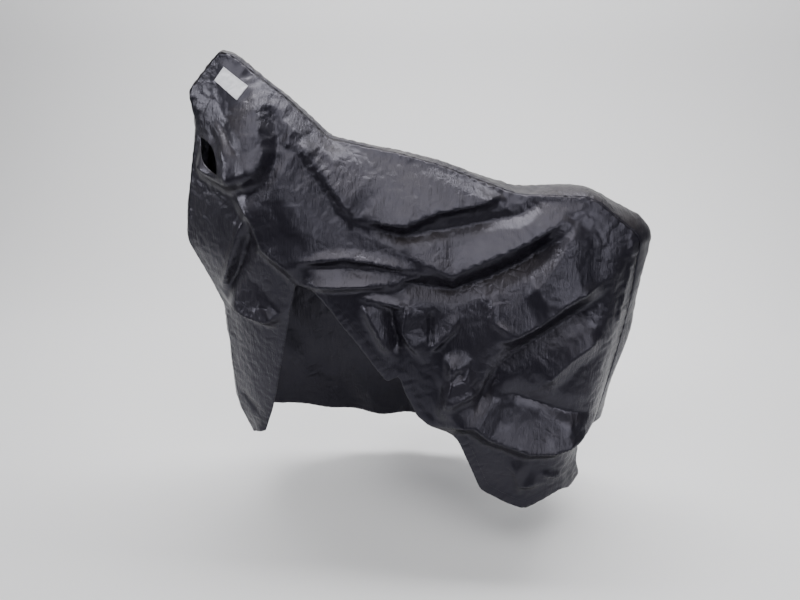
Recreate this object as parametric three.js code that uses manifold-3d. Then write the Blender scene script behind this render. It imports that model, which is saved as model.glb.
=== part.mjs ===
// Fitted dust cover of thin coated cloth, draped and hitched up on its near side.
// Millimetres. X runs lengthwise with the front at -X, Y points away from the near side, Z is up.
// The origin lies just under the top strip, where the cover rests on its support.

import * as THREE from 'three';
import { mergeVertices } from 'three/addons/utils/BufferGeometryUtils.js';
import Module from 'manifold-3d';

const clothThickness = 2;
const seamGap = 0.5;
const restDepth = 6;          // the tables' heights are taken from this far above the origin
const columnLength = 37;      // target spacing of the columns along the seam
const nearRows = 30;          // rows from seam to hem on the near panel
const farRows = 7;
const stripRows = 6;
const foldFade = 30;          // folds die out over this distance from the seam
const nearFullness = 2.0;     // how quickly the near panel swells out below its seam
const farFullness = 1.7;

// Sections round the cover from the front hem over the top to the rear hem.
// x, z: outer line of the strip on the middle plane. half: half the strip's width there.
// crown: how far the strip stands out of its seams. hemX, hemY, hemZ: near hem facing the section.
const sections = [
  { at: 'front hem', x: -796, z: -696, half: 58, crown: 20, hemX: -726, hemY: -95, hemZ: -664 },
  { at: 'front shin', x: -820, z: -636, half: 58, crown: 22, hemX: -695, hemY: -110, hemZ: -582 },
  { at: 'front knee', x: -827, z: -580, half: 58, crown: 22, hemX: -674, hemY: -125, hemZ: -510 },
  { at: 'front bulge', x: -833, z: -470, half: 60, crown: 24, hemX: -644, hemY: -140, hemZ: -390 },
  { at: 'front tuck', x: -828, z: -317, half: 60, crown: 20, hemX: -608, hemY: -160, hemZ: -253 },
  { at: 'front slope', x: -864, z: -228, half: 60, crown: 18, hemX: -597, hemY: -170, hemZ: -216 },
  { at: 'front low corner', x: -901, z: -141, half: 60, crown: 16, hemX: -589, hemY: -175, hemZ: -198 },
  { at: 'front middle', x: -889, z: -53, half: 58, crown: 16, hemX: -581, hemY: -178, hemZ: -198 },
  { at: 'front sag', x: -869, z: 47, half: 54, crown: 16, hemX: -571, hemY: -182, hemZ: -200 },
  { at: 'front hollow', x: -846, z: 136, half: 48, crown: 16, hemX: -561, hemY: -185, hemZ: -203 },
  { at: 'head corner', x: -852, z: 210, half: 40, crown: 8, hemX: -551, hemY: -188, hemZ: -206 },
  { at: 'head slope', x: -814, z: 253, half: 28, crown: 6, hemX: -542, hemY: -190, hemZ: -215 },
  { at: 'head peak', x: -770, z: 298, half: 18, crown: 4, hemX: -531, hemY: -192, hemZ: -228 },
  { at: 'head top', x: -737, z: 285, half: 16, crown: 4, hemX: -517, hemY: -194, hemZ: -244 },
  { at: 'upper neck', x: -667, z: 229, half: 14, crown: 3, hemX: -497, hemY: -198, hemZ: -270 },
  { at: 'middle neck', x: -627, z: 200, half: 14, crown: 3, hemX: -476, hemY: -200, hemZ: -298 },
  { at: 'lower neck', x: -571, z: 149, half: 14, crown: 3, hemX: -451, hemY: -204, hemZ: -328 },
  { at: 'notch', x: -531, z: 109, half: 14, crown: 3, hemX: -426, hemY: -208, hemZ: -362 },
  { at: 'front of back', x: -449, z: 92, half: 16, crown: 3, hemX: -380, hemY: -214, hemZ: -423 },
  { at: 'middle of back', x: -367, z: 77, half: 18, crown: 3, hemX: -350, hemY: -214, hemZ: -405 },
  { at: 'rear of back', x: -272, z: 54, half: 22, crown: 4, hemX: -336, hemY: -216, hemZ: -450 },
  { at: 'seat nose', x: -182, z: 24, half: 30, crown: 5, hemX: -307, hemY: -218, hemZ: -507 },
  { at: 'seat dip', x: -89, z: -5, half: 40, crown: 6, hemX: -278, hemY: -220, hemZ: -529 },
  { at: 'seat front', x: -37, z: -3, half: 46, crown: 8, hemX: -237, hemY: -222, hemZ: -541 },
  { at: 'seat middle', x: 14, z: 2, half: 54, crown: 12, hemX: -207, hemY: -224, hemZ: -570 },
  { at: 'seat rear', x: 62, z: 3, half: 60, crown: 14, hemX: -172, hemY: -226, hemZ: -650 },
  { at: 'seat edge', x: 98, z: -7, half: 62, crown: 16, hemX: -147, hemY: -226, hemZ: -712 },
  { at: 'rear slope', x: 150, z: -39, half: 62, crown: 22, hemX: -83, hemY: -226, hemZ: -748 },
  { at: 'rear top', x: 200, z: -68, half: 62, crown: 30, hemX: -59, hemY: -225, hemZ: -758 },
  { at: 'rear corner', x: 229, z: -98, half: 62, crown: 36, hemX: -34, hemY: -224, hemZ: -768 },
  { at: 'upper rear', x: 229, z: -156, half: 62, crown: 38, hemX: 12, hemY: -212, hemZ: -743 },
  { at: 'middle rear', x: 228, z: -237, half: 62, crown: 36, hemX: 55, hemY: -195, hemZ: -722 },
  { at: 'lower rear', x: 218, z: -349, half: 62, crown: 34, hemX: 84, hemY: -165, hemZ: -738 },
  { at: 'rear tail', x: 196, z: -503, half: 62, crown: 32, hemX: 109, hemY: -135, hemZ: -721 },
  { at: 'rear end', x: 187, z: -559, half: 61, crown: 30, hemX: 112, hemY: -102, hemZ: -668 },
  { at: 'rear hem', x: 178, z: -615, half: 60, crown: 28, hemX: 136, hemY: -80, hemZ: -632 },
];

// Folds of the near panel. line: [x, z] points along the crest or the bottom of the fold.
// rise: towards the viewer, or away from it where negative.
// left, right: how far the fold spreads to the left and right of the line as it is travelled.
const folds = [
  { fold: 'bulge edge', line: [[-690, 205], [-674, 165], [-656, 110], [-652, 90], [-659, 63], [-706, 22]],
    rise: 14, left: 16, right: 48 },
  { fold: 'neck groove', line: [[-655, 190], [-634, 112], [-633, 72], [-650, 32], [-680, 6]],
    rise: -12, left: 30, right: 16 },
  { fold: 'bulge foot', line: [[-845, 62], [-800, 40], [-756, 26], [-706, 22]],
    rise: 30, left: 84, right: 30 },
  { fold: 'lip fold', line: [[-779, 152], [-745, 105], [-742, 70]], rise: 9, left: 16, right: 18 },
  { fold: 'lip valley', line: [[-766, 152], [-707, 83]], rise: -8, left: 20, right: 18 },
  { fold: 'chest ridge', line: [[-732, -1], [-687, -46], [-662, -113], [-603, -157], [-583, -193]],
    rise: 22, left: 60, right: 26 },
  { fold: 'blade', line: [[-697, -35], [-720, -81], [-760, -173], [-800, -258]],
    rise: 15, left: 20, right: 16 },
  { fold: 'blade hollow', line: [[-690, -75], [-727, -165], [-784, -253]], rise: -16, left: 30, right: 22 },
  { fold: 'patch fold', line: [[-790, -276], [-718, -293], [-670, -298], [-636, -275]],
    rise: 40, left: 92, right: 28 },
  { fold: 'shin crease', line: [[-803, -549], [-735, -610]], rise: -7, left: 24, right: 24 },
  { fold: 'neck brow', line: [[-700, 215], [-640, 170], [-590, 120], [-545, 75]],
    rise: 24, left: 40, right: 130 },
  { fold: 'neck ridge', line: [[-599, 166], [-610, 104], [-588, 104]], rise: 5, left: 14, right: 14 },
  { fold: 'neck valley', line: [[-581, 131], [-547, 84], [-511, 33]], rise: -10, left: 14, right: 14 },
  { fold: 'panel edge', line: [[-587, 109], [-519, 34], [-480, -14], [-446, -56]],
    rise: 26, left: 120, right: 24 },
  { fold: 'sag edge', line: [[-446, -56], [-346, -66], [-268, -40], [-177, -26], [-107, -8]],
    rise: 26, left: 120, right: 24 },
  { fold: 'sag valley', line: [[-440, -72], [-402, -82], [-356, -96], [-325, -92], [-219, -79],
      [-143, -66], [-82, -54], [-32, -25], [14, -24]],
    rise: -14, left: 24, right: 20 },
  { fold: 'band edge', line: [[-352, -126], [-314, -139], [-236, -171], [-174, -146],
      [-120, -125], [-62, -97], [32, -47]],
    rise: 26, left: 66, right: 34 },
  { fold: 'band valley', line: [[-400, -176], [-314, -200], [-235, -214], [-156, -190],
      [-78, -154], [-18, -114], [36, -70]],
    rise: -24, left: 32, right: 34 },
  { fold: 'tip ridge', line: [[54, -53], [30, -92], [5, -128], [-24, -174], [-78, -226]],
    rise: 20, left: 90, right: 44 },
  { fold: 'upper pleat', line: [[-576, -133], [-479, -127], [-397, -140], [-308, -158]],
    rise: 15, left: 18, right: 12 },
  { fold: 'pleat hollow', line: [[-566, -150], [-486, -150], [-420, -160]],
    rise: -14, left: 14, right: 14 },
  { fold: 'lower pleat', line: [[-581, -192], [-507, -193], [-437, -193], [-352, -189], [-308, -175]],
    rise: 18, left: 26, right: 20 },
  { fold: 'flap edge', line: [[-440, -219], [-385, -231], [-335, -245]], rise: 13, left: 16, right: 12 },
  { fold: 'tongue', line: [[-432, -227], [-412, -277], [-369, -350]], rise: 18, left: 34, right: 22 },
  { fold: 'tongue valley', line: [[-375, -240], [-350, -350]], rise: -18, left: 20, right: 24 },
  { fold: 'pocket', line: [[-330, -228], [-343, -297], [-300, -355]], rise: 14, left: 40, right: 14 },
  { fold: 'pocket fold', line: [[-285, -345], [-231, -295], [-217, -254]], rise: 14, left: 34, right: 14 },
  { fold: 'pocket crease', line: [[-279, -250], [-278, -340]], rise: -12, left: 12, right: 14 },
  { fold: 'side crease', line: [[-143, -219], [-137, -275], [-98, -288]], rise: 8, left: 12, right: 12 },
  { fold: 'fan ridge', line: [[115, -185], [21, -231], [-36, -271], [-97, -303], [-128, -323]],
    rise: 28, left: 36, right: 96 },
  { fold: 'fan valley', line: [[106, -240], [10, -290], [-60, -335], [-118, -380], [-150, -440]],
    rise: -16, left: 40, right: 34 },
  { fold: 'second fan ridge', line: [[118, -308], [45, -358], [4, -398], [-24, -430]],
    rise: 22, left: 40, right: 60 },
  { fold: 'column edge', line: [[-232, -338], [-227, -407], [-241, -468], [-257, -510]],
    rise: 26, left: 66, right: 22 },
  { fold: 'tuck', line: [[-127, -396], [-147, -441], [-170, -482], [-162, -520]],
    rise: -16, left: 20, right: 20 },
  { fold: 'flap ridge', line: [[-276, -525], [-216, -514], [-160, -510]], rise: 12, left: 22, right: 16 },
  { fold: 'flap crease', line: [[-230, -401], [-200, -382]], rise: -9, left: 12, right: 12 },
  { fold: 'lower band', line: [[-160, -512], [-132, -544], [-39, -578], [21, -577], [80, -560]],
    rise: 46, left: 86, right: 42 },
  { fold: 'tail ridge', line: [[-75, -620], [-50, -694], [1, -688]], rise: 12, left: 40, right: 18 },
  { fold: 'tail crease', line: [[0, -660], [54, -677]], rise: 8, left: 14, right: 12 },
  { fold: 'rear pucker', line: [[171, -84], [181, -154], [167, -232], [156, -314]],
    rise: 7, left: 10, right: 16 },
  { fold: 'front bump', line: [[-803, -437], [-799, -528]], rise: 6, left: 12, right: 16 },
];

// Swelling of the near panel round the root of the bar that comes out through it.
const bulge = { x: -716, z: 106, wide: 64, tall: 106, rise: 26 };

// The rear end of the near hem is drawn in towards the front, round this place.
const pinch = { x: 142, z: -648, reach: 82, pull: 28 };

// Slit through which that bar passes: an eye between two points, with one lip wider than the other.
const slit = { x0: -819, z0: 111, x1: -757, z1: 43, outerLip: 21, innerLip: 19, nearY: -320, farY: -30 };

// Label sewn to the head, lying on a flat spot of the near panel.
const label = { x: -740, z: 227, long: 68, tall: 34, turn: -35, thick: 1, margin: 26, steps: 6 };

// The far panel hangs evenly.
const far = { hemFrontX: -736, hemRearX: 104, hemFrontZ: -706, hemRearZ: -652, sag: 104,
  hemY: 196, waves: 5, waveDepth: 12 };

// Soft waves across the strip, this deep where half its width is atHalf.
const stripWave = { length: 260, depth: 4, atHalf: 60 };

const coatedCloth = { color: 0x2a2a30, roughness: 0.5, metalness: 0 };
const labelCloth = { color: 0xe8e8ea, roughness: 0.8, metalness: 0 };

const clamp01 = (t) => Math.min(1, Math.max(0, t));
const smooth = (t) => {
  const c = clamp01(t);
  return c * c * (3 - 2 * c);
};
const mix = (a, b, t) => a + (b - a) * t;

// Seam points: the outer line moved inwards by the crown, square to itself in the XZ plane.
function addSeams(rows) {
  rows.forEach((row, i) => {
    const before = rows[Math.max(0, i - 1)];
    const after = rows[Math.min(rows.length - 1, i + 1)];
    const along = new THREE.Vector2(after.x - before.x, after.z - before.z).normalize();
    row.outX = -along.y;
    row.outZ = along.x;
    row.seamX = row.x - row.crown * row.outX;
    row.seamZ = row.z - row.crown * row.outZ;
  });
}

// Columns: the sections, with evenly spaced ones between them. An even number of them pairs the far panel.
function makeColumns(rows) {
  const columns = [];
  const keys = ['x', 'z', 'half', 'crown', 'hemX', 'hemY', 'hemZ', 'outX', 'outZ', 'seamX', 'seamZ'];
  for (let i = 0; i + 1 < rows.length; i += 1) {
    const a = rows[i];
    const b = rows[i + 1];
    const reach = Math.max(Math.hypot(b.x - a.x, b.z - a.z), Math.hypot(b.hemX - a.hemX, b.hemZ - a.hemZ));
    const count = Math.max(1, Math.round(reach / columnLength));
    for (let k = 0; k < count; k += 1) {
      const column = {};
      keys.forEach((key) => { column[key] = mix(a[key], b[key], k / count); });
      columns.push(column);
    }
  }
  columns.push(rows[rows.length - 1]);
  let run = 0;
  columns.forEach((column, i) => {
    if (i > 0) run += Math.hypot(column.x - columns[i - 1].x, column.z - columns[i - 1].z);
    column.run = run;
  });
  columns.forEach((column) => { column.share = column.run / run; });
  return columns;
}

// Nearest point of a line of points: distance, side (1 left, -1 right) and share of the length.
function nearestOnLine(line, x, z) {
  let best = { d: Infinity, side: 0, share: 0 };
  let total = 0;
  const lengths = line.slice(1).map((p, i) => Math.hypot(p[0] - line[i][0], p[1] - line[i][1]));
  const whole = lengths.reduce((a, b) => a + b, 0);
  for (let i = 0; i + 1 < line.length; i += 1) {
    const [ax, az] = line[i];
    const dx = (line[i + 1][0] - ax) / lengths[i];
    const dz = (line[i + 1][1] - az) / lengths[i];
    const s = Math.min(lengths[i], Math.max(0, (x - ax) * dx + (z - az) * dz));
    const ex = x - ax - dx * s;
    const ez = z - az - dz * s;
    const d = Math.hypot(ex, ez);
    if (d < best.d) {
      best = { d, side: d > 0 ? (dx * ez - dz * ex) / d : 0, share: (total + s) / whole };
    }
    total += lengths[i];
  }
  return best;
}

function foldRise(x, z) {
  let rise = 0;
  folds.forEach((f) => {
    const { d, side, share } = nearestOnLine(f.line, x, z);
    const spread = mix(f.right, f.left, (side + 1) / 2);
    if (d < spread) {
      const ends = 0.2 + 0.8 * smooth(share / 0.22) * smooth((1 - share) / 0.22);
      rise += f.rise * ends * (1 - d / spread) ** 1.5;
    }
  });
  const r = Math.hypot((x - bulge.x) / bulge.wide, (z - bulge.z) / bulge.tall);
  return rise + bulge.rise * smooth(1.25 - r);
}

function nearPoint(column, v) {
  const z = mix(column.seamZ, column.hemZ, v);
  const straight = mix(column.seamX, column.hemX, v);
  const nearness = 1 - Math.hypot(straight - pinch.x, z - pinch.z) / pinch.reach;
  const x = straight - pinch.pull * smooth(nearness) * smooth(v * 2);
  const reach = Math.hypot(column.hemX - column.seamX, column.hemZ - column.seamZ);
  const swell = 1 - (1 - v) ** nearFullness;
  const y = -mix(column.half, -column.hemY, swell);
  return new THREE.Vector3(x, y - foldRise(x, z) * smooth((v * reach) / foldFade), z);
}

function farPoint(column, v) {
  const hemX = mix(far.hemFrontX, far.hemRearX, column.share);
  const hemZ = mix(far.hemFrontZ, far.hemRearZ, column.share) - far.sag * Math.sin(Math.PI * column.share);
  const x = mix(column.seamX, hemX, v);
  const z = mix(column.seamZ, hemZ, v);
  const ends = Math.sin(Math.PI * column.share);
  const swell = 1 - (1 - v) ** farFullness;
  const wave = far.waveDepth * v * ends * Math.sin(2 * Math.PI * far.waves * column.share);
  return new THREE.Vector3(x, mix(column.half, mix(90, far.hemY, ends ** 0.6), swell) + wave, z);
}

function stripPoint(column, w) {
  const across = 2 * w - 1;
  const turn = (2 * Math.PI * column.run) / stripWave.length + 2 * across;
  const wave = stripWave.depth * (column.half / stripWave.atHalf) * Math.sin(turn);
  const lift = (column.crown + wave) * (1 - across * across);
  return new THREE.Vector3(
    column.seamX + lift * column.outX,
    column.half * across,
    column.seamZ + lift * column.outZ,
  );
}

const makeGrid = (columns, rows, point) =>
  columns.map((column) => Array.from({ length: rows + 1 }, (_, j) => point(column, j / rows)));

// Cuts each four-sided cell along the diagonal that lies closer to the true middle of the cell.
function chooseDiagonals(columns, grid, point) {
  return grid.slice(1).map((_, i) => grid[0].slice(1).map((__, j) => {
    const rows = grid[0].length - 1;
    const middle = {};
    Object.keys(columns[i + 1]).forEach((key) => {
      middle[key] = (columns[i][key] + columns[i + 1][key]) / 2;
    });
    const target = point(middle, (j + 0.5) / rows);
    const one = grid[i][j].clone().add(grid[i + 1][j + 1]).multiplyScalar(0.5);
    const two = grid[i + 1][j].clone().add(grid[i][j + 1]).multiplyScalar(0.5);
    return one.distanceTo(target) <= two.distanceTo(target);
  }));
}

function cellTriangles(i, j, first) {
  const a = [i, j];
  const b = [i + 1, j];
  const c = [i + 1, j + 1];
  const d = [i, j + 1];
  return first ? [[a, b, c], [a, c, d]] : [[a, b, d], [b, c, d]];
}

function gridNormals(grid, diagonals) {
  const normals = grid.map((column) => column.map(() => new THREE.Vector3()));
  diagonals.forEach((line, i) => line.forEach((first, j) => {
    cellTriangles(i, j, first).forEach((corners) => {
      const [p, q, r] = corners.map(([ci, cj]) => grid[ci][cj]);
      const n = q.clone().sub(p).cross(r.clone().sub(p));
      corners.forEach(([ci, cj]) => normals[ci][cj].add(n));
    });
  }));
  normals.forEach((column) => column.forEach((n) => n.normalize()));
  return normals;
}

// Closed sheet between a grid of outer points and a grid of inner points.
function sheetGeometry(outer, inner, diagonals) {
  const wide = outer[0].length;
  const count = outer.length * wide;
  const index = [];
  const at = (i, j, side) => side * count + i * wide + j;
  diagonals.forEach((line, i) => line.forEach((first, j) => {
    cellTriangles(i, j, first).forEach(([a, b, c]) => {
      index.push(at(...a, 0), at(...b, 0), at(...c, 0));
      index.push(at(...a, 1), at(...c, 1), at(...b, 1));
    });
  }));
  const rim = [];
  const last = outer.length - 1;
  for (let i = 0; i < last; i += 1) rim.push([[i, 0], [i + 1, 0]]);
  for (let j = 0; j < wide - 1; j += 1) rim.push([[last, j], [last, j + 1]]);
  for (let i = last; i > 0; i -= 1) rim.push([[i, wide - 1], [i - 1, wide - 1]]);
  for (let j = wide - 1; j > 0; j -= 1) rim.push([[0, j], [0, j - 1]]);
  rim.forEach(([a, b]) => {
    index.push(at(...a, 0), at(...b, 1), at(...b, 0));
    index.push(at(...a, 0), at(...a, 1), at(...b, 1));
  });
  const positions = [...outer.flat(), ...inner.flat()].flatMap((p) => [p.x, p.y, p.z]);
  const geometry = new THREE.BufferGeometry();
  geometry.setAttribute('position', new THREE.Float32BufferAttribute(positions, 3));
  geometry.setIndex(index);
  return facingOut(geometry);
}

function facingOut(geometry) {
  const p = geometry.getAttribute('position');
  const index = geometry.getIndex();
  const corners = [0, 1, 2].map(() => new THREE.Vector3());
  let volume = 0;
  for (let k = 0; k < index.count; k += 3) {
    corners.forEach((corner, m) => corner.fromBufferAttribute(p, index.getX(k + m)));
    volume += corners[0].dot(corners[1].clone().cross(corners[2]));
  }
  if (volume < 0) {
    for (let k = 0; k < index.count; k += 3) {
      const b = index.getX(k + 1);
      index.setX(k + 1, index.getX(k + 2));
      index.setX(k + 2, b);
    }
  }
  return geometry;
}

// Inner face of a sheet, one cloth thickness in from the outer face.
const innerOf = (grid, normals) => grid.map((column, i) =>
  column.map((p, j) => p.clone().addScaledVector(normals[i][j], -clothThickness)));

// Mitres two sheets along their common seam, and parts them by the seam gap.
function mitreSeam(first, second) {
  first.seam.forEach((a, i) => {
    const b = second.seam[i];
    const seamPoint = a.outer.clone();
    const miter = a.normal.clone().add(b.normal).divideScalar(1 + a.normal.dot(b.normal));
    const before = first.seam[Math.max(0, i - 1)].point;
    const after = first.seam[Math.min(first.seam.length - 1, i + 1)].point;
    const across = miter.clone().cross(after.clone().sub(before)).normalize();
    if (across.dot(a.into.clone().sub(a.point)) < 0) across.negate();
    [[a, 1], [b, -1]].forEach(([edge, way]) => {
      edge.outer.copy(seamPoint).addScaledVector(across, (way * seamGap) / 2);
      edge.inner.copy(edge.outer).addScaledVector(miter, -clothThickness);
    });
  });
}

const seamOf = (sheet, row, next) => ({
  seam: sheet.outer.map((column, i) => ({
    point: column[row].clone(),
    into: column[next].clone(),
    outer: column[row],
    inner: sheet.inner[i][row],
    normal: sheet.normals[i][row],
  })),
});

// Outward is towards -Y for the near panel, +Y for the far one and away from the hollow for the strip.
function makeSheet(columns, rows, point, outward) {
  const outer = makeGrid(columns, rows, point);
  const diagonals = chooseDiagonals(columns, outer, point);
  const normals = gridNormals(outer, diagonals);
  normals.forEach((line, i) => line.forEach((n, j) => {
    if (n.dot(outward(columns[i], j)) < 0) n.negate();
  }));
  return { outer, inner: innerOf(outer, normals), diagonals, normals };
}

// Lays the near panel flat round the label.
function flattenForLabel(sheet) {
  const turn = THREE.MathUtils.degToRad(label.turn);
  const cos = Math.cos(turn);
  const sin = Math.sin(turn);
  const spot = [];
  sheet.outer.forEach((column) => column.forEach((p, j) => {
    const dx = p.x - label.x;
    const dz = p.z - label.z;
    const u = Math.abs(dx * cos + dz * sin);
    const v = Math.abs(dz * cos - dx * sin);
    const inside = u < label.long / 2 + label.margin && v < label.tall / 2 + label.margin;
    if (inside && j > 0) spot.push(p);
  }));
  const middle = spot.reduce((sum, p) => sum.add(p), new THREE.Vector3()).divideScalar(spot.length);
  let xx = 0;
  let xz = 0;
  let zz = 0;
  let xy = 0;
  let zy = 0;
  spot.forEach((p) => {
    const d = p.clone().sub(middle);
    xx += d.x * d.x;
    xz += d.x * d.z;
    zz += d.z * d.z;
    xy += d.x * d.y;
    zy += d.z * d.y;
  });
  const det = xx * zz - xz * xz;
  const slopeX = (xy * zz - zy * xz) / det;
  const slopeZ = (zy * xx - xy * xz) / det;
  spot.forEach((p) => { p.y = middle.y + slopeX * (p.x - middle.x) + slopeZ * (p.z - middle.z); });
  return { middle, slopeX, slopeZ, cos, sin };
}

// Height of the flat spot over the faceted cloth at one place, negative where the cloth stands higher.
function clearance(sheet, planeY, x, z) {
  let least = Infinity;
  sheet.diagonals.forEach((line, i) => line.forEach((first, j) => {
    cellTriangles(i, j, first).forEach((corners) => {
      const [p, q, r] = corners.map(([ci, cj]) => sheet.outer[ci][cj]);
      const det = (q.x - p.x) * (r.z - p.z) - (r.x - p.x) * (q.z - p.z);
      const b = ((x - p.x) * (r.z - p.z) - (r.x - p.x) * (z - p.z)) / det;
      const c = ((q.x - p.x) * (z - p.z) - (x - p.x) * (q.z - p.z)) / det;
      if (b < 0 || c < 0 || b + c > 1) return;
      least = Math.min(least, p.y + b * (q.y - p.y) + c * (r.y - p.y) - planeY(x, z));
    });
  }));
  return least;
}

// Thin label on the flat spot, a seam gap clear of the cloth and lifted where the cloth rises round it.
function labelGeometry(sheet, spot) {
  const normal = new THREE.Vector3(spot.slopeX, -1, spot.slopeZ).normalize();
  const planeY = (x, z) =>
    spot.middle.y + spot.slopeX * (x - spot.middle.x) + spot.slopeZ * (z - spot.middle.z);
  const place = (u, v) => [
    label.x + u * spot.cos - v * spot.sin,
    label.z + u * spot.sin + v * spot.cos,
  ];
  const nearby = [-1, -0.5, 0, 0.5, 1];
  const onCloth = (u, v) => {
    const [x, z] = place(u, v);
    const heights = nearby.flatMap((a) => nearby.map((b) => {
      const [px, pz] = place(u + (a * label.long) / label.steps, v + (b * label.tall) / label.steps);
      return clearance(sheet, planeY, px, pz);
    }));
    const lift = Math.max(0, -Math.min(...heights));
    return new THREE.Vector3(x, planeY(x, z) - lift, z).addScaledVector(normal, seamGap);
  };
  const shares = Array.from({ length: label.steps + 1 }, (_, i) => i / label.steps - 0.5);
  const inner = shares.map((s) => shares.map((t) => onCloth(s * label.long, t * label.tall)));
  const outer = inner.map((line) => line.map((p) => p.clone().addScaledVector(normal, label.thick)));
  return sheetGeometry(outer, inner, shares.slice(1).map(() => shares.slice(1).map(() => true)));
}

function slitGeometry() {
  const along = new THREE.Vector2(slit.x1 - slit.x0, slit.z1 - slit.z0);
  const side = new THREE.Vector2(-along.y, along.x).normalize();
  const middle = new THREE.Vector2((slit.x0 + slit.x1) / 2, (slit.z0 + slit.z1) / 2);
  const inner = middle.clone().addScaledVector(side, 2 * slit.innerLip);
  const outer = middle.clone().addScaledVector(side, -2 * slit.outerLip);
  const eye = new THREE.Shape();
  eye.moveTo(slit.x0, slit.z0);
  eye.quadraticCurveTo(inner.x, inner.y, slit.x1, slit.z1);
  eye.quadraticCurveTo(outer.x, outer.y, slit.x0, slit.z0);
  const depth = slit.farY - slit.nearY;
  const geometry = new THREE.ExtrudeGeometry(eye, { depth, bevelEnabled: false, curveSegments: 7, steps: 1 });
  geometry.rotateX(Math.PI / 2);
  geometry.translate(0, slit.farY, 0);
  geometry.deleteAttribute('normal');
  geometry.deleteAttribute('uv');
  return mergeVertices(geometry, 1e-3);
}

const wasm = await Module();
wasm.setup();

const toSolid = (geometry) => new wasm.Manifold(new wasm.Mesh({
  numProp: 3,
  vertProperties: new Float32Array(geometry.getAttribute('position').array),
  triVerts: new Uint32Array(geometry.getIndex().array),
}));

function fromSolid(solid) {
  const mesh = solid.getMesh();
  const geometry = new THREE.BufferGeometry();
  geometry.setAttribute('position', new THREE.Float32BufferAttribute(mesh.vertProperties, 3));
  geometry.setIndex(Array.from(mesh.triVerts));
  return geometry;
}

addSeams(sections);
const columns = makeColumns(sections);
const nearSheet = makeSheet(columns, nearRows, nearPoint, () => new THREE.Vector3(0, -1, 0));
const farSheet = makeSheet(columns, farRows, farPoint, () => new THREE.Vector3(0, 1, 0));
const stripSheet = makeSheet(columns, stripRows, stripPoint, (column, j) =>
  new THREE.Vector3(column.outX, 1.2 * ((2 * j) / stripRows - 1), column.outZ));
const labelSpot = flattenForLabel(nearSheet);
nearSheet.normals = gridNormals(nearSheet.outer, nearSheet.diagonals);
nearSheet.normals.forEach((line) => line.forEach((n) => { if (n.y > 0) n.negate(); }));
nearSheet.inner = innerOf(nearSheet.outer, nearSheet.normals);
mitreSeam(seamOf(nearSheet, 0, 1), seamOf(stripSheet, 0, 1));
mitreSeam(seamOf(farSheet, 0, 1), seamOf(stripSheet, stripRows, stripRows - 1));

const nearWhole = sheetGeometry(nearSheet.outer, nearSheet.inner, nearSheet.diagonals);
const nearPanel = fromSolid(toSolid(nearWhole).subtract(toSolid(facingOut(slitGeometry()))));

const cover = new THREE.Group();
cover.name = 'cover';
cover.position.z = restDepth;
const addPiece = (name, geometry, look) => {
  geometry.computeVertexNormals();
  const mesh = new THREE.Mesh(geometry, new THREE.MeshStandardMaterial(look));
  mesh.name = name;
  cover.add(mesh);
};
addPiece('near_panel', nearPanel, coatedCloth);
addPiece('top_strip', sheetGeometry(stripSheet.outer, stripSheet.inner, stripSheet.diagonals), coatedCloth);
addPiece('far_panel', sheetGeometry(farSheet.outer, farSheet.inner, farSheet.diagonals), coatedCloth);
addPiece('label', labelGeometry(nearSheet, labelSpot), labelCloth);

export default cover;
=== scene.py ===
"""Looks of a fitted dust cover of thin coated cloth, draped and hitched up on its near side."""
import math

import bpy
import numpy as np
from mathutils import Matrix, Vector
from mathutils.bvhtree import BVHTree
from mathutils.geometry import delaunay_2d_cdt


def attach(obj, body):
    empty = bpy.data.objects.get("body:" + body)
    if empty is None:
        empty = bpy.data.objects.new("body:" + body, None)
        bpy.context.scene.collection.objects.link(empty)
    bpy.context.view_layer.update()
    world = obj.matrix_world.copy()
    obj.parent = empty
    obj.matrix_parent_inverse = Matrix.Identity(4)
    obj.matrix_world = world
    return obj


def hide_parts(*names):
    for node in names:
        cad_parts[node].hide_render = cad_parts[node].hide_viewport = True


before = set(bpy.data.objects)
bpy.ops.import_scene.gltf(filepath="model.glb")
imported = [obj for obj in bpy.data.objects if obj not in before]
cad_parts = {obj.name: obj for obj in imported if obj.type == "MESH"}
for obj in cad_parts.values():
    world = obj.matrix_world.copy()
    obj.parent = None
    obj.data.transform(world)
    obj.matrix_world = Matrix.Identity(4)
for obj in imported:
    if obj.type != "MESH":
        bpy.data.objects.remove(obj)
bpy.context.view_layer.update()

# Millimetres, as the cutter's tables are. X runs lengthwise with the front at -X,
# Y points away from the near side, Z is up. Heights are counted from REST above the origin.
MM = 0.001
REST = 6.0

# Thickness of the cloth and of the label.
CLOTH = 1.2
LABEL_CLOTH = 0.6

# Steps of the panels' meshes, of the lines along them, and of the coarse grid that gives their depth.
DRAPE_MESH = 9.0
FAR_MESH = 6.5
SEAM_STEP = 4.4
GUIDE_STEP = 12.0
OUTLINE_STEP = 20.0
HEM_STEP = 8.0
SLIT_STEP = 4.0

# Rounding of the corners between sections, and the width beside a seam in which folds fade.
CORNER_REACH = 9.0
FOLD_FADE = 30.0

# How early each panel swells out below its seam, and the rows of its grids from seam to hem.
NEAR_FULLNESS = 2.0
FAR_FULLNESS = 1.7
PANEL_ROWS = np.linspace(0, 1, 61)[None, :]
GUIDE_ROWS = np.linspace(-0.01, 1.01, 45)[None, :]

# Rays that look for the cloth: their direction, and how far off they start, in metres.
AHEAD = Vector((0, 1, 0))
FAR_OFF = 2.0

# Lengths and gaps under these count as none.
NO_LENGTH = 1e-6
NO_GAP = 1e-9

# Turns of evening out: the smooth panels, the main folds kept through the draping, the far folds.
NEAR_TURNS = 30
FAR_TURNS = 20
KEPT_FOLD_TURNS = 16
FAR_FOLD_TURNS = 3
FAR_FOLD_SHARE = 0.4

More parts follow.
